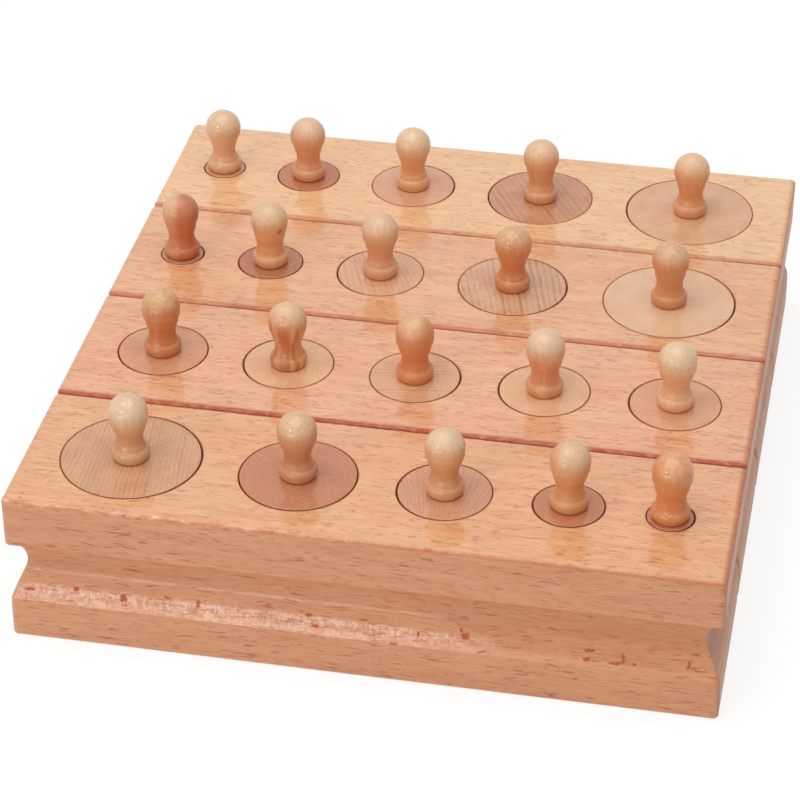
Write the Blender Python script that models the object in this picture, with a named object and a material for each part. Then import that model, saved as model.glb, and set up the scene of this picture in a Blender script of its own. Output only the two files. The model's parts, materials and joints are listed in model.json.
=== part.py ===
"""Knobbed cylinder blocks: four moulded beech blocks with five loose knobbed cylinders each.

Lengths are in metres, +Z is up, X runs along the blocks and Y from the front block to the back one.
The origin is on the resting plane, under the middle of the four blocks.
"""

from math import acos, ceil, cos, pi, radians, sin, tau

import bmesh
import bpy

# Cylinders, in equal steps from the smallest to the largest
smallest_cylinder_diameter = 0.0114
largest_cylinder_diameter = 0.0349
shortest_cylinder_height = 0.0100
tallest_cylinder_height = 0.0340
cylinder_edge_bevel = 0.0004
cylinders_per_block = 5

# Fits
socket_clearance = 0.0003
seat_gap = 0.0003
tenon_clearance = 0.0003
block_gap = 0.0003

# Walls that the sockets leave in a block
socket_wall = 0.0098
narrow_end_wall = 0.0089
wide_end_wall = 0.01015
side_wall = 0.0018
socket_floor = 0.0074

# Moulding that runs round the four sides of a block
groove_depth = 0.0042
upper_band_height = 0.0135
lower_band_height = 0.0100
swell_bulge = 0.0003
upper_band_lip = 0.0004
top_edge_round = 0.0011
bottom_edge_round = 0.0008
corner_round = 0.0020
mitre_round = 0.0003
swell_height_share = 0.60

# Turned knob, measured from the top of its cylinder
knob_height = 0.0182
knob_ball_diameter = 0.0102
knob_neck_diameter = 0.0066
knob_neck_height = 0.0061
knob_foot_diameter = 0.0097
knob_lip_height = 0.0021
tenon_diameter = 0.0040
tenon_length = 0.0060
ball_join_angle = radians(-40)

# Facets and cuts
cut_overrun = 0.0020
chord_error = 0.00013
corner_steps = 3
edge_steps = 2
swell_steps = 4
cove_steps = 5
ball_steps = 5
waist_steps = 2
knob_sides = 12
sharp_angle = radians(32)

# Left-to-right order of the sizes in each block, counted from the smallest
rising = list(range(cylinders_per_block))
falling = rising[::-1]
level = [cylinders_per_block // 2] * cylinders_per_block

# Linear colours of the woods
woods = {
    "beech": {"colour": (0.76, 0.45, 0.24), "roughness": 0.34},
    "beech_pink": {"colour": (0.74, 0.40, 0.23), "roughness": 0.34},
    "honey_knob": {"colour": (0.70, 0.35, 0.12), "roughness": 0.22},
    "striped_grey": {"colour": (0.50, 0.33, 0.21), "roughness": 0.55},
    "striped_dark": {"colour": (0.42, 0.25, 0.16), "roughness": 0.55},
    "red_brown": {"colour": (0.43, 0.20, 0.13), "roughness": 0.50},
    "dusky_pink": {"colour": (0.52, 0.31, 0.23), "roughness": 0.55},
    "pale_pink": {"colour": (0.62, 0.40, 0.28), "roughness": 0.55},
    "cream": {"colour": (0.72, 0.50, 0.30), "roughness": 0.55},
}

# Blocks from front to back
block_plans = {
    "a": {
        "diameter_ranks": falling,
        "height_ranks": rising,
        "wide_end_left": False,
        "block_wood": "beech",
        "cylinder_woods": ["striped_grey", "red_brown", "dusky_pink", "red_brown", "red_brown"],
    },
    "b": {
        "diameter_ranks": level,
        "height_ranks": falling,
        "wide_end_left": True,
        "block_wood": "beech_pink",
        "cylinder_woods": ["pale_pink", "cream", "dusky_pink", "cream", "dusky_pink"],
    },
    "c": {
        "diameter_ranks": rising,
        "height_ranks": level,
        "wide_end_left": False,
        "block_wood": "beech_pink",
        "cylinder_woods": ["red_brown", "red_brown", "striped_grey", "striped_grey", "pale_pink"],
    },
    "d": {
        "diameter_ranks": rising,
        "height_ranks": rising,
        "wide_end_left": False,
        "block_wood": "beech",
        "cylinder_woods": ["pale_pink", "red_brown", "dusky_pink", "striped_dark", "pale_pink"],
    },
}


def graded(smallest, largest, rank):
    return smallest + (largest - smallest) * rank / (cylinders_per_block - 1)


def cylinder_diameter(rank):
    return graded(smallest_cylinder_diameter, largest_cylinder_diameter, rank)


def cylinder_height(rank):
    return graded(shortest_cylinder_height, tallest_cylinder_height, rank)


def socket_diameter(rank):
    return cylinder_diameter(rank) + 2 * socket_clearance


# Block size, worked out from the sockets and the walls round them
inner_walls_length = (cylinders_per_block - 1) * socket_wall
end_walls_length = narrow_end_wall + wide_end_wall
block_length = sum(socket_diameter(rank) for rank in rising) + inner_walls_length + end_walls_length
block_width = socket_diameter(rising[-1]) + 2 * (side_wall + groove_depth)
block_height = tallest_cylinder_height + seat_gap + socket_floor
block_pitch = block_width + block_gap
moulding_height = block_height - upper_band_height - lower_band_height
swell_height = moulding_height * swell_height_share


def side_count(diameter):
    """Sides of a round piece, in whole quarters, that keep its flats within the chord error."""
    half_angle = acos(1 - 2 * chord_error / diameter)
    return 4 * ceil(pi / half_angle / 4)


def wood_material(name, wood):
    material = bpy.data.materials.new(name)
    material.use_nodes = True
    shader = material.node_tree.nodes["Principled BSDF"]
    shader.inputs["Base Color"].default_value = (*woods[wood]["colour"], 1)
    shader.inputs["Roughness"].default_value = woods[wood]["roughness"]
    shader.inputs["Metallic"].default_value = 0
    material.diffuse_color = (*woods[wood]["colour"], 1)
    return material


def add_piece(name, bm, wood, parent=None, location=(0, 0, 0)):
    """Turn a bmesh into a named, smooth shaded object with its own wood."""
    bmesh.ops.recalc_face_normals(bm, faces=bm.faces)
    mesh = bpy.data.meshes.new(name)
    bm.to_mesh(mesh)
    bm.free()
    piece = bpy.data.objects.new(name, mesh)
    bpy.context.collection.objects.link(piece)
    piece.parent = parent
    piece.location = location
    mesh.materials.append(wood_material(name + "_wood", wood))
    shade(piece)
    return piece


def shade(piece):
    piece.data.shade_smooth()
    piece.data.set_sharp_from_angle(angle=sharp_angle)


def arc(centre, radii, start_angle, end_angle, steps):
    """Points of an ellipse's arc, both ends included."""
    points = []
    for step in range(steps + 1):
        angle = start_angle + (end_angle - start_angle) * step / steps
        points.append((centre[0] + radii[0] * cos(angle), centre[1] + radii[1] * sin(angle)))
    return points


def moulding_profile():
    """Inset and height up a block's side: lower band, swell, finger groove, upper band."""
    swell_top = lower_band_height + swell_height
    band_bottom = block_height - upper_band_height
    profile = [(bottom_edge_round, 0), (0, bottom_edge_round)]
    for step in range(swell_steps):
        share = step / swell_steps
        outward = 4 * swell_bulge * share * (1 - share)
        profile.append((groove_depth * share - outward, lower_band_height + swell_height * share))
    cove_radii = (groove_depth - upper_band_lip, band_bottom - swell_top)
    profile += arc((upper_band_lip, swell_top), cove_radii, 0, pi / 2, cove_steps)
    profile.append((0, band_bottom + upper_band_lip))
    top_centre = (top_edge_round, block_height - top_edge_round)
    profile += arc(top_centre, (top_edge_round, top_edge_round), pi, pi / 2, edge_steps)
    return profile


def rounded_rectangle(half_length, half_width, radius):
    corners = ((1, 1, 0), (-1, 1, pi / 2), (-1, -1, pi), (1, -1, 3 * pi / 2))
    outline = []
    for x_side, y_side, start_angle in corners:
        centre = (x_side * (half_length - radius), y_side * (half_width - radius))
        outline += arc(centre, (radius, radius), start_angle, start_angle + pi / 2, corner_steps)
    return outline


def moulded_block(name, wood, location):
    """Loft the moulding's inset outlines from the bottom of the block to its top."""
    bm = bmesh.new()
    rings = []
    for inset, height in moulding_profile():
        radius = max(corner_round - inset, mitre_round)
        outline = rounded_rectangle(block_length / 2 - inset, block_width / 2 - inset, radius)
        rings.append([bm.verts.new((x, y, height)) for x, y in outline])
    for lower, upper in zip(rings, rings[1:]):
        join_rings(bm, lower, upper)
    bm.faces.new(rings[0])
    bm.faces.new(rings[-1])
    return add_piece(name, bm, wood, location=location)


def join_rings(bm, lower, upper):
    count = len(lower)
    for index in range(count):
        following = (index + 1) % count
        bm.faces.new((lower[index], lower[following], upper[following], upper[index]))


def turned_shape(bm, profile, sides, centre_x=0):
    """Turn a profile of radius and height points about Z; a zero radius closes at the axis."""
    rings = []
    for radius, height in profile:
        if radius == 0:
            rings.append([bm.verts.new((centre_x, 0, height))])
            continue
        angles = [tau * side / sides for side in range(sides)]
        rings.append([bm.verts.new((centre_x + radius * cos(a), radius * sin(a), height)) for a in angles])
    for first, second in zip(rings, rings[1:]):
        if len(second) == 1:
            close_on_axis(bm, first, second[0])
        else:
            join_rings(bm, first, second)
    bm.faces.new(rings[0])
    if len(rings[-1]) > 1:
        bm.faces.new(rings[-1])


def close_on_axis(bm, ring, tip):
    for index in range(len(ring)):
        bm.faces.new((ring[index], ring[(index + 1) % len(ring)], tip))


def cut_sockets(block, sockets):
    """Cut blind flat-bottomed sockets, each given as centre, diameter, depth and sides."""
    bm = bmesh.new()
    for centre_x, diameter, depth, sides in sockets:
        walls = [(diameter / 2, block_height - depth), (diameter / 2, block_height + cut_overrun)]
        turned_shape(bm, walls, sides, centre_x)
    bmesh.ops.recalc_face_normals(bm, faces=bm.faces)
    mesh = bpy.data.meshes.new("sockets")
    bm.to_mesh(mesh)
    bm.free()
    cutter = bpy.data.objects.new("sockets", mesh)
    cutter.location = block.location
    cutter.hide_render = True
    cutter.display_type = "WIRE"
    bpy.context.collection.objects.link(cutter)
    cut = block.modifiers.new("sockets", "BOOLEAN")
    cut.operation = "DIFFERENCE"
    cut.solver = "EXACT"
    cut.object = cutter
    bpy.context.view_layer.update()
    evaluated = block.evaluated_get(bpy.context.evaluated_depsgraph_get())
    uncut_mesh = block.data
    block.data = bpy.data.meshes.new_from_object(evaluated)
    block.modifiers.clear()
    bpy.data.meshes.remove(uncut_mesh)
    bpy.data.objects.remove(cutter)
    shade(block)


def cylinder_profile(diameter, height):
    """Bottom edge, side, bevelled top edge and the bore for the knob's tenon."""
    radius = diameter / 2
    bore_radius = tenon_diameter / 2 + tenon_clearance
    bore_bottom = height - tenon_length - seat_gap
    return [
        (radius, 0),
        (radius, height - cylinder_edge_bevel),
        (radius - cylinder_edge_bevel, height),
        (bore_radius, height),
        (bore_radius, bore_bottom),
    ]


def knob_profile():
    """Tenon, rolled lip, waist and ball, from the tenon's end up to the top of the ball."""
    ball_radius = knob_ball_diameter / 2
    ball_centre = knob_height - ball_radius
    lip_radius = (knob_lip_height - seat_gap) / 2
    lip_centre = (knob_foot_diameter / 2 - lip_radius, seat_gap + lip_radius)
    profile = [(tenon_diameter / 2, -tenon_length), (tenon_diameter / 2, seat_gap)]
    profile += arc(lip_centre, (lip_radius, lip_radius), -pi / 2, pi / 2, edge_steps)
    neck = (knob_neck_diameter / 2, knob_neck_height)
    ball = arc((0, ball_centre), (ball_radius, ball_radius), ball_join_angle, pi / 2, ball_steps)
    profile += waist(profile[-1], neck)[1:]
    profile += waist(ball[0], neck)[-2:0:-1]
    profile += ball[:-1]
    profile.append((0, knob_height))
    return profile


def waist(end, neck):
    """Hollow curve from a wider end to the neck, where it runs upright."""
    points = []
    for step in range(waist_steps + 1):
        share = 1 - step / waist_steps
        radius = neck[0] + (end[0] - neck[0]) * share ** 2
        points.append((radius, neck[1] + (end[1] - neck[1]) * share))
    return points


def add_cylinder(name, knob_name, block, place, size, wood):
    """Add a loose cylinder, its top flush with the block, and the knob glued into it."""
    diameter, height = size
    bm = bmesh.new()
    turned_shape(bm, cylinder_profile(diameter, height), side_count(diameter))
    seat = (place, 0, block_height - height)
    cylinder = add_piece(name, bm, wood, parent=block, location=seat)
    bm = bmesh.new()
    turned_shape(bm, knob_profile(), knob_sides)
    add_piece(knob_name, bm, "honey_knob", parent=cylinder, location=(0, 0, height))


def add_block(letter, plan, row):
    """Add one block, its sockets, its cylinders and their knobs."""
    row_offset = (row - (len(block_plans) - 1) / 2) * block_pitch
    block = moulded_block("block_" + letter, plan["block_wood"], (0, row_offset, 0))
    left_wall = wide_end_wall if plan["wide_end_left"] else narrow_end_wall
    socket_edge = left_wall - block_length / 2
    places = []
    for diameter_rank in plan["diameter_ranks"]:
        places.append(socket_edge + socket_diameter(diameter_rank) / 2)
        socket_edge += socket_diameter(diameter_rank) + socket_wall
    ranks = list(zip(places, plan["diameter_ranks"], plan["height_ranks"]))
    sockets = []
    for place, diameter_rank, height_rank in ranks:
        depth = cylinder_height(height_rank) + seat_gap
        sides = side_count(cylinder_diameter(diameter_rank))
        sockets.append((place, socket_diameter(diameter_rank), depth, sides))
    cut_sockets(block, sockets)
    for index, (place, diameter_rank, height_rank) in enumerate(ranks):
        number = letter + str(index + 1)
        size = (cylinder_diameter(diameter_rank), cylinder_height(height_rank))
        wood = plan["cylinder_woods"][index]
        add_cylinder("cylinder_" + number, "knob_" + number, block, place, size, wood)


def main():
    for old_object in list(bpy.data.objects):
        bpy.data.objects.remove(old_object)
    for row, (letter, plan) in enumerate(block_plans.items()):
        add_block(letter, plan, row)
    bpy.context.view_layer.update()


main()
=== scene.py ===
"""Looks of the knobbed cylinder blocks: finer meshes, woods, floor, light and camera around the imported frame."""

import json
import math

import bmesh
import bpy
from mathutils import Matrix, Vector, noise


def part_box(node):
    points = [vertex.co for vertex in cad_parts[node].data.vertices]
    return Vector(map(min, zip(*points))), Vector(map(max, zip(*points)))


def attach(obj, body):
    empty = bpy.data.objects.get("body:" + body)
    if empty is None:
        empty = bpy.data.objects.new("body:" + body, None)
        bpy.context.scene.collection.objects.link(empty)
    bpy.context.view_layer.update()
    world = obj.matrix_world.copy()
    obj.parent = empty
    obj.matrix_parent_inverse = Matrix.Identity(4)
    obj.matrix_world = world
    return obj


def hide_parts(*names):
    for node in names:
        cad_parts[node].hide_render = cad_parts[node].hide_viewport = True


MM = 0.001
# Clearance round and under a cylinder, and how far it stands to one side in its socket
CLEARANCE = 0.3 * MM
LEAN = 0.11 * MM
# Lip of lacquer that narrows a socket's mouth
LIP = 0.15 * MM
# Straight sides that stand for a circle, in sockets and cylinders and in knobs
CYLINDER_SIDES = 112
KNOB_SIDES = 64

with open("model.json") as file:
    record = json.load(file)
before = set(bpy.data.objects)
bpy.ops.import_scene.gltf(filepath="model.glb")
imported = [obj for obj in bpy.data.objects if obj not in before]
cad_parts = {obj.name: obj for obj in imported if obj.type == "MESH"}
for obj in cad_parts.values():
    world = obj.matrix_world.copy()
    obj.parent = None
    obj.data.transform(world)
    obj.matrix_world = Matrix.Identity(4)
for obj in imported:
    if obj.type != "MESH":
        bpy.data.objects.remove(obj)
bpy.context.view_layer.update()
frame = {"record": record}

LETTERS = "abcd"
NUMBERS = range(1, 6)
BODY = {node: body for body, nodes in frame["record"]["behaviour"]["bodies"].items() for node in nodes}


# Node trees

def put(tree, kind, settings=None, **inputs):
    """Adds a node; an input takes a value or another node's output, by name with _ for a space, or as n0, n1."""
    node = tree.nodes.new(kind)
    for key, value in (settings or {}).items():
        setattr(node, key, value)
    for key, value in inputs.items():
        by_number = key[0] == "n" and key[1:].isdigit()
        feed(tree, node.inputs[int(key[1:]) if by_number else key.replace("_", " ")], value)
    return node


def feed(tree, socket, value):
    """Links another node's output to an input, or sets the value that the input holds."""
    if isinstance(value, bpy.types.NodeSocket):
        tree.links.new(value, socket)
    else:
        socket.default_value = value


def math_node(tree, operation, a, b=0.0):
    """One step of arithmetic on values or other nodes' outputs."""
    return put(tree, "ShaderNodeMath", {"operation": operation}, n0=a, n1=b).outputs[0]


def plus(tree, a, b):
    return math_node(tree, "ADD", a, b)


def minus(tree, a, b):
    return math_node(tree, "SUBTRACT", a, b)


def larger(tree, a, b):
    return math_node(tree, "MAXIMUM", a, b)


def absolute(tree, value):
    return math_node(tree, "ABSOLUTE", value)


def times(tree, *values):
    """The product of two or more values."""
    product = values[0]
    for value in values[1:]:
        product = math_node(tree, "MULTIPLY", product, value)
    return product


def remap(tree, value, low, high, to_low=0.0, to_high=1.0, smooth=True):
    """Takes low to to_low and high to to_high on a smooth or straight ramp, held level beyond its ends."""
    kind = {"interpolation_type": "SMOOTHSTEP" if smooth else "LINEAR"}
    return put(tree, "ShaderNodeMapRange", kind, n0=value, n1=low, n2=high, n3=to_low, n4=to_high).outputs[0]


def between(tree, value, rise, fall):
    """1 between two ramps, each given by its ends in millimetres, and 0 outside them."""
    up = remap(tree, value, rise[0] * MM, rise[1] * MM)
    return times(tree, up, remap(tree, value, fall[0] * MM, fall[1] * MM, 1.0, 0.0))


def mix(tree, factor, a, b):
    """Mixes two colours, which go in at the node's inputs 6 and 7."""
    node = tree.nodes.new("ShaderNodeMix")
    node.data_type = "RGBA"
    feed(tree, node.inputs[0], factor)
    for socket, value in ((node.inputs[6], a), (node.inputs[7], b)):
        feed(tree, socket, (*value, 1) if isinstance(value, tuple) else value)
    return node.outputs[2]


def mix_value(tree, factor, a, b):
    """Mixes two numbers, which go in at the node's inputs 2 and 3."""
    return put(tree, "ShaderNodeMix", None, n0=factor, n2=a, n3=b).outputs[0]


def axes(tree, vector):
    """X, Y and Z of a vector."""
    return put(tree, "ShaderNodeSeparateXYZ", None, Vector=vector).outputs


def distance(tree, a, b):
    """How far two points are apart."""
    return put(tree, "ShaderNodeVectorMath", {"operation": "DISTANCE"}, n0=a, n1=b).outputs["Value"]


def seen_from_above(tree, place):
    """The coordinates with the height left out."""
    return put(tree, "ShaderNodeVectorMath", {"operation": "MULTIPLY"}, n0=place, n1=(1, 1, 0)).outputs[0]


def moved_by(tree, vector, offset):
    """The coordinates with an offset in metres added."""
    return put(tree, "ShaderNodeMapping", None, Vector=vector, Location=offset).outputs[0]


def fine_noise(tree, vector, scale, detail=3.0, rough=0.55):
    """Noise around 0.5, drawn out by a different scale on each axis, given in cells per metre."""
    drawn = put(tree, "ShaderNodeMapping", None, Vector=vector, Scale=scale).outputs[0]
    return put(tree, "ShaderNodeTexNoise", None, Vector=drawn, Scale=1.0, Detail=detail, Roughness=rough).outputs[0]


def colour(red, green, blue):
    """A colour as it shows on the screen, 0 to 255, turned into Blender's linear values."""
    return tuple((v / 255 / 12.92) if v < 10.3 else ((v / 255 + 0.055) / 1.055) ** 2.4 for v in (red, green, blue))


# Values of the woods

# Blocks: end grain tinted with a painted greyish sheen, painted shade in the groove, and on the swell sanding ticks, a
# pale strip of painted light at its foot, and tear-outs
END_GRAIN_AND_SHEEN = colour(184, 132, 112)
GROOVE_SHADE = colour(150, 90, 56)
TICK = colour(180, 102, 62)
FOOT_LIGHT_STRIP = colour(242, 190, 146)
TEAR_OUT = colour(180, 78, 38)
# Top edges: at the right ends, in front of the first block with its chips and nicks, in front of the others
END_EDGE = colour(184, 104, 76)
FIRST_EDGE = colour(192, 116, 78)
CHIP = colour(248, 212, 182)
NICK = colour(194, 100, 62)
FRONT_EDGE = colour(178, 80, 48)
PALE_EDGE = colour(224, 162, 132)
# Painted shade of the gap round each cylinder, at the rims of the sockets and of the cylinders
SOCKET_RIM_SHADE = colour(156, 86, 50)
CYLINDER_RIM_SHADE = colour(168, 98, 60)
# Knobs: pale speckle of painted sheen on the crown, fine upright lines, dark streaks, a stain
PAINTED_SHEEN_SPECKLE = colour(240, 214, 188)
FINE_LINE = colour(192, 112, 60)
STREAK = colour(186, 96, 54)
STAIN = colour(164, 80, 46)

# Amount of flecks on the blocks' sides, and how thick the lacquer is there, in the groove and on the swell
SIDE_FLECKS = 0.75
SIDE_FILM = 0.6
GROOVE_FILM = 0.28
SWELL_FILM = 0.68
# Heights in millimetres between which the groove's look ends
GROOVE_TOP = (27.9, 28.5)

# Top colours, side colours made darker than the top's partly by painted shade, fleck colour, seed and amount of flecks
# on top
BLOCK_WOODS = {
    "a": dict(pale=colour(237, 182, 133), deep=colour(223, 150, 96), side_pale=colour(220, 157, 112),
              side_deep=colour(205, 135, 91), fleck=colour(166, 82, 40), seed=1.0, top_flecks=0.3),
    "b": dict(pale=colour(239, 182, 138), deep=colour(224, 150, 104), side_pale=colour(219, 156, 117),
              side_deep=colour(205, 138, 98), fleck=colour(172, 88, 46), seed=2.3, top_flecks=0.45),
    "c": dict(pale=colour(239, 185, 138), deep=colour(222, 151, 100), side_pale=colour(219, 156, 117),
              side_deep=colour(205, 138, 98), fleck=colour(174, 90, 46), seed=3.1, top_flecks=0.35),
    "d": dict(pale=colour(243, 198, 149), deep=colour(235, 176, 121), side_pale=colour(224, 164, 123),
              side_deep=colour(210, 146, 103), fleck=colour(184, 106, 54), seed=4.7, top_flecks=0.28),
}
# Redness of each block's right top edge, then of the others' front top edges and how much of those is pale
END_REDNESS = dict(a=0.8, b=0.65, c=0.45, d=0.25)
FRONT_REDNESS = dict(b=1.0, c=0.65, d=0.5)
FRONT_PALENESS = dict(b=0.3, c=0.12, d=0.08)
# How strongly the painted shade of the gap browns the rims of each row's sockets and cylinders
RIM_SHADES = dict(a=0.8, b=0.65, c=0.55, d=0.4)
# Tear-outs on the first block's swell: place along X, height, width and tallness in millimetres
MARKS = ((-71.5, 15.4, 1.4, 0.8), (-59.4, 14.6, 1.5, 1.7), (-59.0, 12.9, 1.3, 0.4), (-40.4, 15.2, 0.9, 1.7),
         (-48.2, 15.9, 1.8, 0.6), (-83.6, 14.0, 2.6, 0.5), (-12.5, 15.9, 1.9, 0.7), (-11.0, 13.4, 1.7, 0.8),
         (8.6, 11.4, 1.6, 0.6), (14.6, 14.2, 0.5, 1.3), (30.5, 12.0, 1.6, 0.5), (26.2, 15.2, 1.9, 1.6),
         (25.2, 16.5, 0.9, 1.0), (56.6, 15.4, 2.2, 0.7), (56.0, 13.2, 1.6, 0.8), (64.8, 14.4, 0.8, 2.2),
         (62.8, 13.0, 2.8, 0.5), (67.6, 13.3, 0.8, 0.8), (80.6, 14.6, 0.8, 1.6))


def ring(x, y, spacing, lines, grit=0.4):
    """Growth rings round a pith at x, y from the cylinder's axis, in millimetres, with a strength and a speckle."""
    return dict(kind="ring", pith=(x, y), spacing=spacing, lines=lines, grit=grit)


def fan(x, y, spacing, lines):
    """Growth lines that fan out from x, y."""
    return dict(kind="fan", pith=(x, y), spacing=spacing, lines=lines, grit=0.4)


RED = ring(40, 90, 1.3, 0.15, grit=0.7)
CREAM = ring(-70, 40, 1.4, 0.14)
# Pale, deep and line colour of each cylinder, and its grain
CYLINDER_WOODS = {
    "a1": ((218, 166, 124), (204, 146, 106), (162, 102, 68), fan(-17, 218, 1.15, 0.5)),
    "a2": ((206, 138, 97), (188, 116, 78), (150, 88, 60), RED),
    "a3": ((220, 162, 124), (204, 140, 104), (168, 104, 72), fan(2, -34, 1.2, 0.45)),
    "a4": ((204, 134, 93), (188, 114, 76), (154, 90, 62), RED),
    "a5": ((202, 134, 95), (184, 112, 78), (146, 86, 60), RED),
    "b1": ((220, 158, 115), (204, 136, 96), (176, 108, 76), ring(-18, -30, 1.3, 0.18)),
    "b2": ((232, 182, 135), (218, 162, 116), (196, 138, 98), CREAM),
    "b3": ((228, 176, 132), (214, 156, 114), (172, 114, 80), ring(-20, 163, 1.5, 0.45)),
    "b4": ((234, 186, 139), (220, 164, 120), (198, 140, 102), CREAM),
    "b5": ((226, 168, 125), (212, 148, 108), (184, 120, 88), ring(14, -34, 1.5, 0.2)),
    "c1": ((202, 138, 99), (184, 116, 82), (152, 90, 64), RED),
    "c2": ((192, 124, 84), (174, 100, 64), (146, 86, 60), RED),
    "c3": ((228, 176, 134), (214, 156, 118), (172, 112, 82), fan(-35, 83, 1.6, 0.5)),
    "c4": ((222, 172, 132), (206, 150, 112), (140, 88, 62), fan(90, -310, 1.7, 0.6)),
    "c5": ((232, 188, 149), (220, 170, 132), (200, 148, 114), ring(0, 48, 1.5, 0.24)),
    "d1": ((218, 162, 123), (200, 138, 102), (174, 118, 88), RED),
    "d2": ((200, 128, 85), (182, 106, 66), (152, 92, 66), RED),
    "d3": ((226, 168, 129), (212, 150, 114), (184, 126, 96), ring(-20, 40, 1.2, 0.2)),
    "d4": ((211, 152, 112), (193, 128, 90), (146, 86, 60), fan(-240, 400, 2.1, 0.5)),
    "d5": ((226, 176, 133), (212, 156, 116), (188, 134, 100), ring(12, -34, 1.6, 0.26)),
}
# Crown and body colour of each knob, the crown's paleness being painted sheen, and what is particular about its grain,
# with lengths in millimetres
KNOB_WOODS = {
    "a1": ((224, 188, 150), (211, 154, 108), dict(crown=5.8, spot=True)),
    "a2": ((220, 175, 132), (200, 130, 86), dict(crown=3.6, spot=True)),
    "a3": ((228, 190, 150), (214, 148, 100), dict(crown=4.2)),
    "a4": ((223, 181, 140), (216, 146, 92), dict(crown=4.0, flank=-1)),
    "a5": ((221, 156, 104), (216, 132, 78), dict(crown=4.6, flank=-1, spot=True)),
    "b1": ((214, 168, 120), (202, 122, 74), dict(crown=2.6, ragged=5.0)),
    "b2": ((227, 186, 144), (222, 150, 98), dict(crown=2.8, ragged=6.0, streaks=0.7)),
    "b3": ((222, 172, 126), (217, 130, 76), dict(crown=2.6, flank=1)),
    "b4": ((229, 193, 158), (226, 152, 106), dict(crown=4.8, streaks=0.2)),
    "b5": ((231, 196, 156), (236, 178, 132), dict(crown=5.4)),
    "c1": ((220, 174, 124), (204, 126, 82), dict(crown=3.4, half=(192, 102, 64))),
    "c2": ((223, 186, 142), (226, 160, 108), dict(crown=3.6, stain=(3.6, -3.0, -6.4))),
    "c3": ((225, 185, 148), (224, 158, 114), dict(crown=4.6)),
    "c4": ((215, 166, 116), (214, 130, 78), dict(crown=3.2, ragged=5.0, spot=True)),
    "c5": ((218, 168, 122), (216, 142, 94), dict(crown=3.4)),
    "d1": ((228, 188, 146), (222, 166, 122), dict(crown=3.8, spot=True)),
    "d2": ((228, 188, 154), (222, 148, 102), dict(crown=3.4)),
    "d3": ((232, 194, 156), (230, 162, 110), dict(crown=4.6, spot=True)),
    "d4": ((230, 190, 148), (226, 154, 104), dict(crown=4.0)),
    "d5": ((232, 190, 148), (224, 150, 100), dict(crown=3.4)),
}
# Direction in degrees that each cylinder stands to in its socket, and the knobs' waist radii in millimetres
LEANS = dict(a1=180, a2=100, a3=10, a4=80, a5=170, b1=90, b2=0, b3=180, b4=5, b5=350,
             c1=175, c2=80, c3=20, c4=150, c5=175, d1=90, d2=80, d3=185, d4=340, d5=0)
WAISTS = dict(a1=3.35, a2=3.3, a3=3.4, a4=3.45, a5=3.6, b1=3.5, b2=3.4, b3=3.45, b4=3.55, b5=3.4,
              c1=3.5, c2=3.65, c3=3.35, c4=3.3, c5=3.5, d1=3.2, d2=3.3, d3=3.3, d4=3.35, d5=3.35)
# How much fuller than round the lower half of each row's balls is
FULL = dict(a=0.75, b=0.75, c=0.4, d=0.3)


# Woods

def new_wood(name, seed):
    """A new material, its tree and shader, the object coordinates, and the same moved by the seed."""
    material = bpy.data.materials.new(name)
    material.use_nodes = True
    tree = material.node_tree
    place = put(tree, "ShaderNodeTexCoord").outputs["Object"]
    moved = moved_by(tree, place, (seed * 0.37, seed * 0.71, seed * 0.53))
    return material, tree, tree.nodes["Principled BSDF"], place, moved


def lacquered(tree, shader, shade, relief, ripple, coat, gloss, rough, coat_ior=1.56, specular=0.3):
    """Colour, fibre relief and a lacquer film that follows the relief a little."""
    tree.links.new(shade, shader.inputs["Base Color"])
    bump = put(tree, "ShaderNodeBump", None, Strength=0.25, Distance=0.12 * MM, Height=relief).outputs[0]
    tree.links.new(bump, shader.inputs["Normal"])
    wave = plus(tree, ripple, times(tree, relief, 0.45))
    film = put(tree, "ShaderNodeBump", None, Strength=0.22, Distance=0.2 * MM, Height=wave).outputs[0]
    tree.links.new(film, shader.inputs["Coat Normal"])
    tree.links.new(coat, shader.inputs["Coat Weight"])
    tree.links.new(gloss, shader.inputs["Coat Roughness"])
    shader.inputs["Roughness"].default_value = rough
    shader.inputs["Specular IOR Level"].default_value = specular
    shader.inputs["Coat IOR"].default_value = coat_ior


def facing(tree):
    """How far a surface faces up or down, and how far it faces along the grain, 0 to 1."""
    parts = axes(tree, put(tree, "ShaderNodeTexCoord").outputs["Normal"])
    return remap(tree, absolute(tree, parts[2]), 0.4, 0.8), remap(tree, absolute(tree, parts[0]), 0.5, 0.9)


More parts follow.
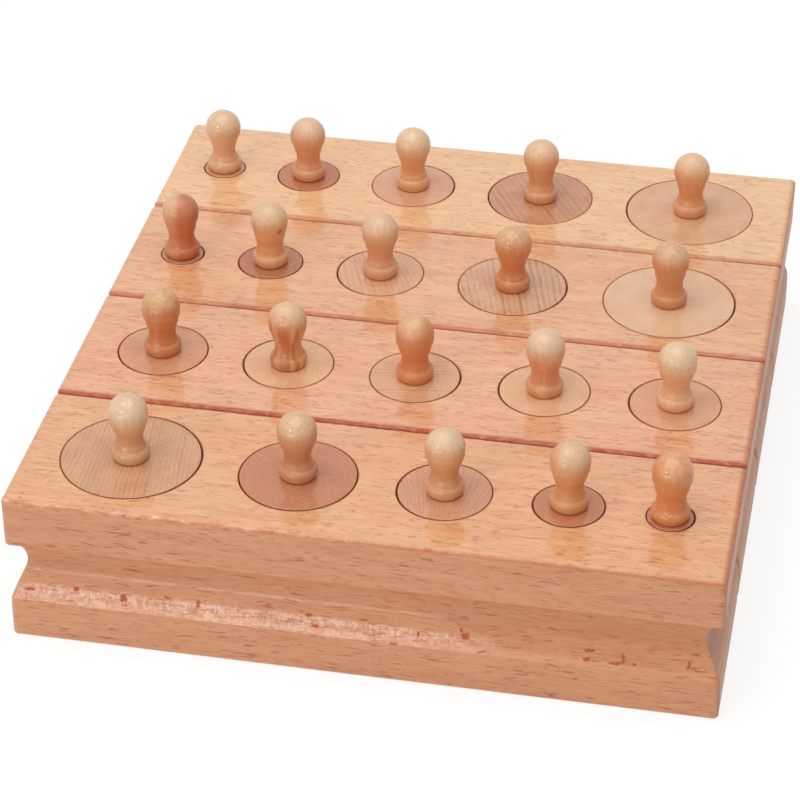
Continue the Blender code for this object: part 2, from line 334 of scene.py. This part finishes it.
def plank(name, letter, box, sockets, rim_shade, pale, deep, side_pale, side_deep, fleck, seed, top_flecks):
    """Lacquered beech with the grain along X: wavy flecks on top, dashes on sides made darker partly by painted shade,
    dull ends with a painted greyish sheen, worn edges.
    """
    material, tree, shader, place, moved = new_wood(name, seed)
    level, end = facing(tree)
    parts = axes(tree, place)
    bend = remap(tree, fine_noise(tree, moved, (70, 160, 160), 2.0), 0.3, 0.7, -0.4 * MM, 0.4 * MM, smooth=False)
    slow = remap(tree, fine_noise(tree, moved, (11, 40, 40), 2.0), 0.3, 0.7, -1.2 * MM, 1.2 * MM, smooth=False)
    shift = plus(tree, bend, slow)
    off = put(tree, "ShaderNodeCombineXYZ", None, X=0.0, Y=shift, Z=shift).outputs[0]
    bent = put(tree, "ShaderNodeVectorMath", {"operation": "ADD"}, n0=moved, n1=off).outputs[0]

    figure = remap(tree, fine_noise(tree, bent, (45, 420, 420), 3.0, 0.6), 0.34, 0.68)
    fibre = fine_noise(tree, bent, (190, 1700, 1700), 3.0, 0.65)
    cloud = remap(tree, fine_noise(tree, bent, (12, 60, 60), 2.0), 0.35, 0.65)
    blend = plus(tree, times(tree, figure, 0.45), times(tree, remap(tree, fibre, 0.32, 0.68), 0.35))
    blend = plus(tree, blend, times(tree, cloud, 0.2))
    # Sides take darker colours than the top: partly the other cut of the grain, partly painted shade
    shade = mix(tree, level, mix(tree, blend, side_pale, side_deep), mix(tree, blend, pale, deep))
    marks = beech_marks(tree, bent, moved, level, top_flecks)
    marks = times(tree, marks, remap(tree, end, 0.0, 1.0, 1.0, 0.3))
    shade = mix(tree, marks, shade, fleck)
    # End faces take the end-grain colour, with a greyish tint that is a painted sheen standing in for their reflection
    shade = mix(tree, times(tree, end, 0.6), shade, END_GRAIN_AND_SHEEN)

    shade, film = moulding(tree, parts, moved, level, shade)
    shade, worn = worn_edges(tree, place, shade, box, seed, letter)
    shade, torn = tear_outs(tree, parts, place, shade, box[0]) if letter == "a" else (shade, 0.0)
    rims = socket_rims(tree, place, sockets)
    # Painted shade of the gap round each cylinder, brown at the socket rims
    shade = mix(tree, times(tree, rims, rim_shade), shade, SOCKET_RIM_SHADE)
    bare = larger(tree, larger(tree, torn, rims), times(tree, worn, 0.9))
    coat = times(tree, film, remap(tree, end, 0.0, 1.0, 1.0, 0.22), minus(tree, 1.0, bare))
    gloss = remap(tree, fine_noise(tree, moved, (60, 240, 240)), 0.3, 0.7, 0.07, 0.14, smooth=False)
    ripple = times(tree, fine_noise(tree, moved, (260, 520, 520), 2.0), 0.5)
    relief = minus(tree, times(tree, fibre, 0.5), marks)
    lacquered(tree, shader, shade, relief, ripple, coat, gloss, rough=0.55, coat_ior=1.7)
    return material


def beech_marks(tree, bent, moved, level, top_flecks):
    """How much of the fleck colour shows: clear and faint dashes everywhere, thin wavy lines on top."""
    amount = remap(tree, level, 0.0, 1.0, SIDE_FLECKS, top_flecks, smooth=False)
    dashes = remap(tree, fine_noise(tree, bent, (200, 1600, 1600), 1.2, 0.5), 0.60, 0.70)
    crowd = remap(tree, fine_noise(tree, moved, (40, 110, 110), 1.0), 0.3, 0.6, 0.5, 1.0)
    faint = remap(tree, fine_noise(tree, bent, (300, 2300, 2300), 1.0, 0.4), 0.56, 0.72)
    contour = absolute(tree, minus(tree, fine_noise(tree, bent, (105, 640, 640), 2.0), 0.5))
    broken = remap(tree, fine_noise(tree, moved, (230, 600, 600)), 0.42, 0.58, 0.1, 1.0)
    waves = times(tree, remap(tree, contour, 0.008, 0.04, 1.0, 0.0), broken, level)
    marks = larger(tree, times(tree, dashes, crowd, amount), times(tree, faint, amount, 0.4))
    return larger(tree, marks, times(tree, waves, 0.55))


def moulding(tree, parts, moved, level, shade):
    """Sanding ticks and a patchy film low on the swell, a pale strip of painted light at its foot, a duller groove
    above darkened with painted shade.
    """
    side = minus(tree, 1.0, level)
    groove = between(tree, parts[2], (17.0, 20.0), GROOVE_TOP)
    dull = between(tree, parts[2], (13.6, 15.4), GROOVE_TOP)
    swell = between(tree, parts[2], (11.0, 11.4), (14.6, 17.8))
    strip = between(tree, parts[2], (11.1, 11.5), (12.3, 13.8))
    ticks = fine_noise(tree, moved, (2400, 1400, 520), 1.5)
    patches = fine_noise(tree, moved, (330, 330, 700), 2.0)
    wear_and_light_mottle = remap(tree, fine_noise(tree, moved, (90, 90, 60), 2.0), 0.35, 0.6, 0.45, 1.0)
    # Painted shade in the groove under the upper band
    shade = mix(tree, times(tree, groove, side, 0.07), shade, GROOVE_SHADE)
    shade = mix(tree, times(tree, swell, side, remap(tree, ticks, 0.5, 0.64), 0.22), shade, TICK)
    # Painted light: a pale, mottled strip just above the crease
    shade = mix(tree, times(tree, strip, side, wear_and_light_mottle, 0.35), shade, FOOT_LIGHT_STRIP)

    patchy = times(tree, remap(tree, ticks, 0.62, 0.44, 0.4, 1.0), remap(tree, patches, 0.34, 0.54, 0.4, 1.0))
    film = mix_value(tree, dull, SIDE_FILM, GROOVE_FILM)
    film = mix_value(tree, swell, film, times(tree, patchy, SWELL_FILM))
    film = times(tree, film, remap(tree, strip, 0.0, 1.0, 1.0, 0.7))
    film = times(tree, film, remap(tree, parts[0], -30 * MM, 60 * MM, 1.0, 0.8))
    return shade, mix_value(tree, level, film, 1.0)


def socket_rims(tree, place, sockets):
    """1 at the rims of the sockets: the places on top that are nearest to a socket's wall."""
    flat = seen_from_above(tree, place)
    nearest = 1.0
    for x, y, radius in sockets:
        to_wall = absolute(tree, minus(tree, distance(tree, flat, (x, y, 0)), radius))
        nearest = math_node(tree, "MINIMUM", to_wall, nearest)
    return remap(tree, nearest, 0.08 * MM, 0.26 * MM, 1.0, 0.0)


def worn_edges(tree, place, shade, box, seed, letter):
    """Wear of the top edges: whitish chips and red nicks in front of the first block, worn red lines elsewhere."""
    low, high = box
    parts = axes(tree, place)
    down = minus(tree, high.z, parts[2])
    to_front = plus(tree, minus(tree, parts[1], low.y), down)
    to_end = plus(tree, minus(tree, high.x, absolute(tree, parts[0])), down)
    wear_and_light_mottle = fine_noise(tree, moved_by(tree, place, (seed, seed * 2, seed * 3)), (380, 1100, 1100), 4.0, 0.7)
    nicks = fine_noise(tree, moved_by(tree, place, (seed + 5, seed, 0)), (380, 700, 700), 2.0)
    right = remap(tree, parts[0], -20 * MM, 20 * MM, 0.15, 1.0)
    ends = remap(tree, to_end, 0.6 * MM, 1.9 * MM, 1.0, 0.0)
    ends = times(tree, ends, remap(tree, wear_and_light_mottle, 0.3, 0.55, 0.5, 1.0), right)
    shade = mix(tree, times(tree, ends, END_REDNESS[letter]), shade, END_EDGE)
    if letter == "a":
        edge = remap(tree, to_front, 0.5 * MM, 1.3 * MM, 1.0, 0.0)
        left = remap(tree, parts[0], -30 * MM, 20 * MM, 1.0, 0.15)
        chips = times(tree, edge, remap(tree, wear_and_light_mottle, 0.48, 0.60), left)
        shade = mix(tree, times(tree, edge, 0.72), shade, FIRST_EDGE)
        shade = mix(tree, times(tree, chips, 0.38), shade, CHIP)
        shade = mix(tree, times(tree, edge, remap(tree, nicks, 0.60, 0.67, 0.0, 0.75)), shade, NICK)
    else:
        edge = remap(tree, to_front, 0.8 * MM, 2.2 * MM, 1.0, 0.0)
        edge = times(tree, edge, remap(tree, nicks, 0.3, 0.55, 0.75, 1.0))
        shade = mix(tree, times(tree, edge, FRONT_REDNESS[letter]), shade, FRONT_EDGE)
        pale = times(tree, edge, remap(tree, wear_and_light_mottle, 0.52, 0.64, 0.0, FRONT_PALENESS[letter]))
        shade = mix(tree, pale, shade, PALE_EDGE)
    return shade, larger(tree, edge, ends)


def tear_outs(tree, parts, place, shade, low):
    """The small red tear-outs of MARKS in the first block's swell, with wobbling outlines."""
    wobble = times(tree, minus(tree, fine_noise(tree, place, (1100, 1100, 1100)), 0.5), 1.4 * MM)
    along, up = (plus(tree, parts[axis], wobble) for axis in (0, 2))
    total = 0.0
    for x, z, width, tall in MARKS:
        one = times(tree, about(tree, along, x, width), about(tree, up, z, tall))
        total = larger(tree, total, one)
    torn = times(tree, total, remap(tree, minus(tree, parts[1], low.y), 3.5 * MM, 6.0 * MM, 1.0, 0.0))
    return mix(tree, times(tree, torn, 0.85), shade, TEAR_OUT), torn


def about(tree, value, middle, width):
    """1 about a middle, fading out over a width, both in millimetres."""
    away = absolute(tree, minus(tree, value, middle * MM))
    return remap(tree, away, width * 0.3 * MM, width * 0.7 * MM, 1.0, 0.0)


def inlay(name, centre, radius, seed, rim_shade, pale, deep, line, kind, pith, spacing, lines, grit):
    """The cylinders' wood, its grain upright: growth lines round a pith or fanning from it, speckle, painted shade at
    the rim.
    """
    material, tree, shader, place, moved = new_wood(name, seed)
    parts = axes(tree, place)
    bend = 1.2 * MM if kind == "fan" else 2.2 * MM
    warp = times(tree, minus(tree, fine_noise(tree, moved, (75, 75, 8), 2.0), 0.5), bend)
    dx = minus(tree, parts[0], centre.x + pith[0] * MM)
    dy = minus(tree, parts[1], centre.y + pith[1] * MM)
    if kind == "fan":
        span = times(tree, math_node(tree, "DIVIDE", dx, absolute(tree, dy)), abs(pith[1]) * MM)
    else:
        span = math_node(tree, "SQRT", plus(tree, times(tree, dx, dx), times(tree, dy, dy)))
    years = times(tree, plus(tree, span, warp), 1 / (spacing * MM))
    part = math_node(tree, "FRACT", years)
    late = plus(tree, remap(tree, part, 0.3, 0.85), remap(tree, part, 0.88, 1.0, 0.0, -1.0))
    whole = math_node(tree, "FLOOR", years)
    uneven = put(tree, "ShaderNodeTexWhiteNoise", {"noise_dimensions": "1D"}, W=whole).outputs["Value"]
    patches = remap(tree, fine_noise(tree, moved, (160, 160, 10), 2.0), 0.3, 0.6, 0.5, 1.0)
    strength = times(tree, remap(tree, uneven, 0.0, 1.0, 0.35, 1.0), patches)

    speckle = fine_noise(tree, moved, (2000, 2000, 120), 2.0, 0.7)
    cloud = fine_noise(tree, moved, (160, 160, 20), 3.0)
    blend = plus(tree, times(tree, remap(tree, cloud, 0.35, 0.65), 1.0 - grit),
                 times(tree, remap(tree, speckle, 0.36, 0.64), grit))
    shade = mix(tree, blend, pale, deep)
    shade = mix(tree, times(tree, late, strength, lines), shade, line)
    pores = remap(tree, fine_noise(tree, moved, (1500, 1500, 60), 1.0), 0.60, 0.70)
    shade = mix(tree, times(tree, pores, 0.4), shade, line)
    away = distance(tree, seen_from_above(tree, place), (centre.x, centre.y, 0))
    # Painted shade of the gap, brown at the cylinder's rim
    rim = remap(tree, away, radius - 0.22 * MM, radius - 0.02 * MM, 0.0, rim_shade)
    shade = mix(tree, rim, shade, CYLINDER_RIM_SHADE)

    ripple = fine_noise(tree, moved, (420, 420, 60), 3.0)
    gloss = remap(tree, cloud, 0.3, 0.7, 0.09, 0.16, smooth=False)
    coat = remap(tree, speckle, 0.3, 0.6, 0.7, 0.95)
    relief = minus(tree, times(tree, speckle, 0.4), times(tree, late, lines))
    lacquered(tree, shader, shade, relief, ripple, coat, gloss, rough=0.6)
    return material


def honey(name, seat, top, centre, pale, deep, seed, crown, ragged=2.2,
          streaks=0.0, half=None, flank=0, stain=None, spot=False):
    """The knobs' lacquered wood, its grain upright: a crown paled by painted sheen over an orange body, whose deeper
    waist and paler foot are painted shade and light.

    A flank of 1 or -1 keeps the crown's painted sheen off the right or left side, half colours the right half, and
    spot makes the lacquer smooth enough for a clear highlight.
    """
    material, tree, shader, place, moved = new_wood(name, seed)
    parts = axes(tree, place)
    aside = minus(tree, parts[0], centre.x)
    comb = times(tree, minus(tree, fine_noise(tree, moved, (1000, 1000, 70), 3.0), 0.5), ragged * MM)
    drift = times(tree, minus(tree, fine_noise(tree, moved, (170, 170, 40), 2.0), 0.5), 6 * MM)
    height = plus(tree, parts[2], plus(tree, comb, drift))
    lines = fine_noise(tree, moved, (2700, 2700, 100), 2.0, 0.6)
    broad = fine_noise(tree, moved, (520, 520, 26), 3.0)
    # Body deepest at the waist, paler at the foot and up the ball: painted shade and bounced light
    foot = remap(tree, height, seat + 2.5 * MM, seat + 6 * MM, 0.68, 0.9)
    rise = remap(tree, height, seat + 6.5 * MM, seat + 12 * MM, 0.0, 0.26)
    body = plus(tree, minus(tree, foot, rise), times(tree, remap(tree, broad, 0.32, 0.68), 0.2))
    shade = mix(tree, body, pale, deep)

    # The crown is paler: painted sheen, with a speckle of it
    crown_z = top - crown * MM
    crown_sheen = remap(tree, height, crown_z - 2.6 * MM, crown_z + 2.8 * MM)
    if flank:
        crown_sheen = times(tree, crown_sheen, remap(tree, times(tree, aside, flank), 1.2 * MM, 3.4 * MM, 1.0, 0.25))
    sheen_speckle = remap(tree, fine_noise(tree, moved, (1300, 1300, 130), 3.0), 0.38, 0.62)
    shade = mix(tree, crown_sheen, shade, pale)
    shade = mix(tree, times(tree, crown_sheen, sheen_speckle, 0.26), shade, PAINTED_SHEEN_SPECKLE)
    shade = mix(tree, times(tree, remap(tree, lines, 0.48, 0.66), 0.16), shade, FINE_LINE)
    if streaks:
        dark = remap(tree, fine_noise(tree, moved, (430, 430, 12), 2.0), 0.43, 0.63)
        lower = remap(tree, height, crown_z, crown_z - 4 * MM)
        shade = mix(tree, times(tree, dark, lower, streaks), shade, STREAK)
    if half:
        shade = mix(tree, times(tree, remap(tree, aside, -1.6 * MM, 0.8 * MM), 0.75), shade, colour(*half))
    if stain:
        middle = (centre.x + stain[0] * MM, centre.y + stain[1] * MM, top + stain[2] * MM)
        near = distance(tree, place, middle)
        shade = mix(tree, remap(tree, near, 0.3 * MM, 1.3 * MM, 0.7, 0.0), shade, STAIN)

    ripple = times(tree, fine_noise(tree, moved, (420, 420, 200), 2.0), 0.4)
    roughness, weight = ((0.04, 0.08), (0.62, 0.5)) if spot else ((0.12, 0.2), (0.5, 0.35))
    gloss = remap(tree, broad, 0.3, 0.7, *roughness, smooth=False)
    coat = remap(tree, lines, 0.3, 0.7, *weight)
    lacquered(tree, shader, shade, times(tree, lines, -0.3), ripple, coat, gloss, rough=0.55, specular=0.18)
    return material


# Meshes

def finish_mesh(name, bm, material, node, smooth_angle):
    """Makes the visible piece that stands in for a CAD node."""
    bmesh.ops.recalc_face_normals(bm, faces=bm.faces)
    mesh = bpy.data.meshes.new(name)
    bm.to_mesh(mesh)
    bm.free()
    piece = bpy.data.objects.new(name, mesh)
    bpy.context.collection.objects.link(piece)
    mesh.materials.append(material)
    mesh.shade_smooth()
    mesh.set_sharp_from_angle(angle=math.radians(smooth_angle))
    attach(piece, BODY[node])
    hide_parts(node)
    return piece


def smooth_line(points, steps):
    """A Catmull-Rom curve through pairs of numbers."""
    line = []
    ends = [points[0]] + list(points) + [points[-1]]
    for before, start, end, after in zip(ends, ends[1:], ends[2:], ends[3:]):
        for step in range(steps):
            t = step / steps
            line.append(tuple(
                0.5 * (2 * b + (c - a) * t + (2 * a - 5 * b + 4 * c - d) * t * t + (3 * b - a - 3 * c + d) * t ** 3)
                for a, b, c, d in zip(before, start, end, after)))
    line.append(tuple(points[-1]))
    return line


def arc(centre, radius, start, end, steps):
    """Points on a circle from one angle to another, in degrees."""
    angles = [math.radians(start + (end - start) * i / steps) for i in range(steps + 1)]
    return [(centre[0] + radius * math.cos(angle), centre[1] + radius * math.sin(angle)) for angle in angles]


def join_loops(bm, lower, upper):
    """Faces between two rings of vertices; a ring of one vertex closes at the axis."""
    count = max(len(lower), len(upper))
    for i in range(count):
        j = (i + 1) % count
        if len(upper) == 1:
            bm.faces.new((lower[i], lower[j], upper[0]))
        elif len(lower) == 1:
            bm.faces.new((lower[0], upper[j], upper[i]))
        else:
            bm.faces.new((lower[i], lower[j], upper[j], upper[i]))


def turned(bm, profile, centre, sides):
    """Turns radius and height points about a vertical axis; a zero radius closes at the axis."""
    turns = [math.tau * i / sides for i in range(sides)]
    rings = []
    for radius, height in profile:
        points = [(centre[0] + radius * math.cos(turn), centre[1] + radius * math.sin(turn), height) for turn in turns]
        rings.append([bm.verts.new(point) for point in (points if radius else points[:1])])
    for lower, upper in zip(rings, rings[1:]):
        join_loops(bm, lower, upper)


def box_of(node):
    """A CAD node's centre and its low and high corner."""
    low, high = (Vector(v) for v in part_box(node))
    return (low + high) / 2, low, high


def block_profile(top):
    """Inset and height in millimetres up a block's side: lower band, crease, swell, finger groove, upper band."""
    line = arc((0.9, 0.9), 0.9, 270, 180, 5)
    line += [(0.0, 4.0), (0.02, 7.4), (0.08, 9.0), (0.17, 10.4), (0.24, 11.15)]
    line += smooth_line([(0.27, 11.3), (0.62, 12.15), (1.02, 13.1), (1.43, 14.05), (1.84, 15.15), (2.32, 16.2),
                         (2.82, 17.2), (3.3, 18.15), (3.7, 19.05), (3.98, 19.95), (4.14, 20.85), (4.2, 21.8),
                         (4.12, 22.7), (3.94, 23.6), (3.6, 24.7), (3.1, 25.75), (2.4, 26.7), (1.6, 27.4),
                         (0.85, 27.85), (0.35, 28.05)], 3)
    line += [(0.12, 28.2), (0.02, 28.45), (0.0, 28.8), (0.0, 33.0), (0.0, 37.0)]
    line += arc((0.95, top - 0.95), 0.95, 180, 90, 8)
    return line


def rounded_outline(half, inset, radius, spacing):
    """Points round a rectangle with rounded corners, with the same count for each inset."""
    outline = []
    corners = ((1, 1, 0), (-1, 1, 90), (-1, -1, 180), (1, -1, 270))
    centres = [(sx * (half[0] - inset - radius), sy * (half[1] - inset - radius)) for sx, sy, _ in corners]
    for index, (_, _, start) in enumerate(corners):
        corner = arc(centres[index], radius, start, start + 90, 7)
        goal = arc(centres[(index + 1) % 4], radius, start + 90, start + 90, 1)[0]
        count = round(2 * half[index % 2] / spacing)
        outline += corner
        for i in range(1, count):
            outline.append(tuple(c + (g - c) * i / count for c, g in zip(corner[-1], goal)))
    return outline


def wear_depth(letter, point, low, below_top):
    """How far a top edge is rubbed in at a point: ragged along the front, gentle elsewhere."""
    near = max(0.0, 1 - below_top / (1.3 * MM))
    ragged = noise.noise(point * 520) * 0.55 + noise.noise(point * 1500) * 0.45
    front = point.y < low.y + 2 * MM
    if letter == "a" and front:
        left = min(1.0, max(0.35, (20 * MM - point.x) / (60 * MM)))
        return near * (0.05 + left * max(0.0, ragged + 0.05) * 0.5) * MM
    return near * (0.03 + max(0.0, ragged) * (0.5 if front else 0.15)) * MM


def way_in(x, y, half, inset):
    """The way in from a place on a block's outline, and also down where its top edge is rounded."""
    down = -0.7 if inset > 0.2 * MM else 0
    if abs(y) > half.y - 2.5 * MM:
        return Vector((0, -math.copysign(1, y), down))
    return Vector((-math.copysign(1, x), 0, down))


def detailed_block(node, letter, material):
    """A block with its moulding run round four sides, worn top edges and round sockets."""
    centre, low, high = box_of(node)
    half = (high - low) / 2
    spacing = (0.9 if letter == "a" else 1.5) * MM
    bm = bmesh.new()
    rings = []
    for inset, z in block_profile(high.z / MM):
        inset, z = inset * MM, z * MM
        corner_radius = max(1.4 * MM - inset, 0.3 * MM)
        ring_verts = []
        for x, y in rounded_outline(half, inset, corner_radius, spacing):
            point = Vector((centre.x + x, centre.y + y, z))
            depth = wear_depth(letter, point, low, high.z - z)
            ring_verts.append(bm.verts.new(point + way_in(x, y, half, inset) * depth))
        rings.append(ring_verts)
    for lower, upper in zip(rings, rings[1:]):
        join_loops(bm, lower, upper)
    bm.faces.new(rings[0])
    bm.faces.new(rings[-1])
    cut_sockets(finish_mesh(node + "_wood", bm, material, node, 40), letter, high.z)


def cut_sockets(piece, letter, top):
    """Cuts the five sockets, each with a lip of lacquer in its mouth."""
    bm = bmesh.new()
    for number in NUMBERS:
        middle, low, high = box_of("cylinder_%s%d" % (letter, number))
        radius = (high.x - low.x) / 2 + CLEARANCE
        floor = low.z - CLEARANCE
        profile = [(0, floor), (radius, floor), (radius, top - 0.9 * MM),
                   (radius - LIP, top - 0.75 * MM), (radius - LIP, top - 0.45 * MM), (radius, top - 0.1 * MM),
                   (radius + 0.3 * MM, top + 0.2 * MM), (0, top + 0.2 * MM)]
        turned(bm, profile, middle, CYLINDER_SIDES)
    bmesh.ops.recalc_face_normals(bm, faces=bm.faces)
    cutter = bpy.data.objects.new("sockets", bpy.data.meshes.new("sockets"))
    bm.to_mesh(cutter.data)
    bm.free()
    bpy.context.collection.objects.link(cutter)
    cut = piece.modifiers.new("sockets", "BOOLEAN")
    cut.solver = "EXACT"
    cut.object = cutter
    bpy.context.view_layer.update()
    piece.data = bpy.data.meshes.new_from_object(piece.evaluated_get(bpy.context.evaluated_depsgraph_get()))
    piece.modifiers.clear()
    piece.data.shade_smooth()
    piece.data.set_sharp_from_angle(angle=math.radians(28))
    bpy.data.objects.remove(cutter)


def detailed_cylinder(node, material, shift):
    """A turned cylinder with a softened rim and a bore for its knob, standing a little to one side in its socket."""
    centre, low, high = box_of(node)
    radius = (high.x - low.x) / 2
    soft = 0.2 * MM
    bore_radius, bore_floor = 2.3 * MM, high.z - 6.3 * MM
    profile = [(0, low.z), (radius - soft, low.z), (radius, low.z + soft), (radius, high.z - soft)]
    profile += arc((radius - soft, high.z - soft), soft, 20, 90, 4)
    profile += [(bore_radius, high.z), (bore_radius, bore_floor), (0, bore_floor)]
    bm = bmesh.new()
    turned(bm, profile, centre + shift, CYLINDER_SIDES)
    finish_mesh(node + "_wood", bm, material, node, 35)


def knob_profile(total, ball, waist, full):
    """Radius and height in millimetres up a turned knob: tenon, bead, notch, hollow waist and a ball, fuller below."""
    middle = total - ball
    line = [(0.0, -6.0), (2.0, -6.0), (2.0, 0.05), (4.0, 0.05)]
    line += smooth_line([(4.2, 0.1), (4.5, 0.5), (4.74, 1.1), (4.84, 1.8), (4.78, 2.45), (4.56, 2.95), (4.2, 3.3)], 3)
    line += smooth_line([(4.02, 3.4), (3.9, 3.75), (3.76, 4.3), (waist + 0.12, 5.0), (waist, 5.8)], 3)
    line += smooth_line([(waist + 0.04, middle - 6.5), (waist + 0.2, middle - 5.6),
                         (waist + 0.44 + full / 4, middle - 4.6), (max(3.97 + full * 0.6, waist + 0.75), middle - 3.2),
                         (ball - 0.34 + full * 0.3, middle - 1.9), (ball - 0.07, middle - 0.85)], 4)
    line += arc((0, middle), ball, 0, 90, 14)[:-1]
    line.append((0.0, total))
    return line


def detailed_knob(node, seat, material, shift, waist, full):
    """A turned knob on its seat, the top of its cylinder, moved to one side with it."""
    centre, low, high = box_of(node)
    line = knob_profile((high.z - seat) / MM, (high.x - low.x) / 2 / MM, waist, full)
    bm = bmesh.new()
    turned(bm, [(radius * MM, seat + height * MM) for radius, height in line], centre + shift, KNOB_SIDES)
    finish_mesh(node + "_wood", bm, material, node, 50)


def build_block(letter):
    """A block and its wood, which needs to know where the sockets are."""
    node = "block_" + letter
    _, low, high = box_of(node)
    sockets = []
    for number in NUMBERS:
        centre, left, right = box_of("cylinder_%s%d" % (letter, number))
        sockets.append((centre.x, centre.y, (right.x - left.x) / 2 + CLEARANCE))
    beech = plank(node + "_beech", letter, (low, high), sockets, RIM_SHADES[letter], **BLOCK_WOODS[letter])
    detailed_block(node, letter, beech)


def build_cylinder(letter, number):
    """A cylinder and its knob."""
    key = letter + str(number)
    seed = 0.31 * number + LETTERS.index(letter) * 1.7
    lean = math.radians(LEANS[key])
    shift = Vector((math.cos(lean), math.sin(lean), 0)) * LEAN
    centre, low, high = box_of("cylinder_" + key)
    pale, deep, line, grain = CYLINDER_WOODS[key]
    wood = inlay("cylinder_%s_grain" % key, centre + shift, (high.x - low.x) / 2, seed, RIM_SHADES[letter],
                 colour(*pale), colour(*deep), colour(*line), **grain)
    detailed_cylinder("cylinder_" + key, wood, shift)
    seat = high.z
    centre, low, high = box_of("knob_" + key)
    pale, deep, grain = KNOB_WOODS[key]
    wood = honey("knob_%s_lacquer" % key, seat, high.z, centre, colour(*pale), colour(*deep), seed + 9, **grain)
    detailed_knob("knob_" + key, seat, wood, shift, WAISTS[key], FULL[letter])


# Floor, light and camera

def shown_rays(tree):
    """1 for camera, glossy and transmission rays, 0 for the rays that light the object."""
    path = put(tree, "ShaderNodeLightPath").outputs
    return larger(tree, larger(tree, path["Is Camera Ray"], path["Is Glossy Ray"]), path["Is Transmission Ray"])


def build_floor():
    """White paper that glows a little for the camera, so that it shows white and keeps the shadow."""
    mesh = bpy.data.meshes.new("floor")
    bm = bmesh.new()
    bmesh.ops.create_circle(bm, cap_ends=True, radius=4.0, segments=64)
    bm.to_mesh(mesh)
    bm.free()
    floor = bpy.data.objects.new("floor", mesh)
    bpy.context.collection.objects.link(floor)
    material = bpy.data.materials.new("floor_white")
    material.use_nodes = True
    tree = material.node_tree
    tree.nodes.remove(tree.nodes["Principled BSDF"])
    paper = put(tree, "ShaderNodeBsdfDiffuse", None, Color=(0.86, 0.86, 0.86, 1)).outputs[0]
    glow = put(tree, "ShaderNodeEmission", None, Color=(1, 1, 1, 1), Strength=1.12).outputs[0]
    both = put(tree, "ShaderNodeMixShader", None, n0=times(tree, shown_rays(tree), 0.72), n1=paper, n2=glow)
    tree.links.new(both.outputs[0], tree.nodes["Material Output"].inputs[0])
    mesh.materials.append(material)


def build_world(level):
    """White for the camera and in reflections, and a weaker level of soft light on the object."""
    world = bpy.data.worlds.new("studio")
    bpy.context.scene.world = world
    world.use_nodes = True
    tree = world.node_tree
    tree.nodes.clear()
    strength = remap(tree, shown_rays(tree), 0.0, 1.0, level, 1.0, smooth=False)
    sky = put(tree, "ShaderNodeBackground", None, Color=(1, 1, 1, 1), Strength=strength).outputs[0]
    tree.links.new(sky, tree.nodes.new("ShaderNodeOutputWorld").inputs[0])


def add_lamp(name, place, aim, size, power):
    """A rectangular lamp that faces a point; its power is in watts."""
    light = bpy.data.lights.new(name, "AREA")
    light.shape = "RECTANGLE"
    light.size, light.size_y = size
    light.energy = power
    lamp = bpy.data.objects.new(name, light)
    lamp.location = place
    lamp.rotation_euler = (Vector(aim) - Vector(place)).to_track_quat("-Z", "Y").to_euler()
    bpy.context.collection.objects.link(lamp)


def build_camera():
    """The camera that was fitted to the photograph: focal length 2924 pixels in its 800-pixel frame."""
    yaw, pitch, roll = (math.radians(v) for v in (11.31, 34.48, -0.35))
    forward = Vector((-math.sin(yaw) * math.cos(pitch), math.cos(yaw) * math.cos(pitch), -math.sin(pitch)))
    right = Vector((math.cos(yaw), math.sin(yaw), 0))
    up = right.cross(forward)
    rolled_right = right * math.cos(roll) + up * math.sin(roll)
    rolled_up = up * math.cos(roll) - right * math.sin(roll)
    data = bpy.data.cameras.new("camera")
    data.sensor_width = 36
    data.lens = 2924 * data.sensor_width / 800
    camera = bpy.data.objects.new("camera", data)
    turn = Matrix((rolled_right, rolled_up, -forward)).transposed()
    camera.matrix_world = Matrix.Translation((0.1192, -0.6371, 0.4633)) @ turn.to_4x4()
    bpy.context.collection.objects.link(camera)
    bpy.context.scene.camera = camera


build_camera()
for row in LETTERS:
    build_block(row)
    for column in NUMBERS:
        build_cylinder(row, column)
build_floor()
build_world(0.32)
add_lamp("overhead_softbox", (-0.09, -0.12, 1.20), (0, 0, 0), (1.2, 1.2), 11.0)
add_lamp("key", (-0.61, -1.01, 0.64), (0, 0, 0.03), (0.17, 0.17), 1.5)
add_lamp("front_strip", (-0.45, -1.05, 0.092), (-0.03, -0.09, 0.016), (0.72, 0.17), 2.0)
bpy.context.scene.view_settings.view_transform = "Standard"
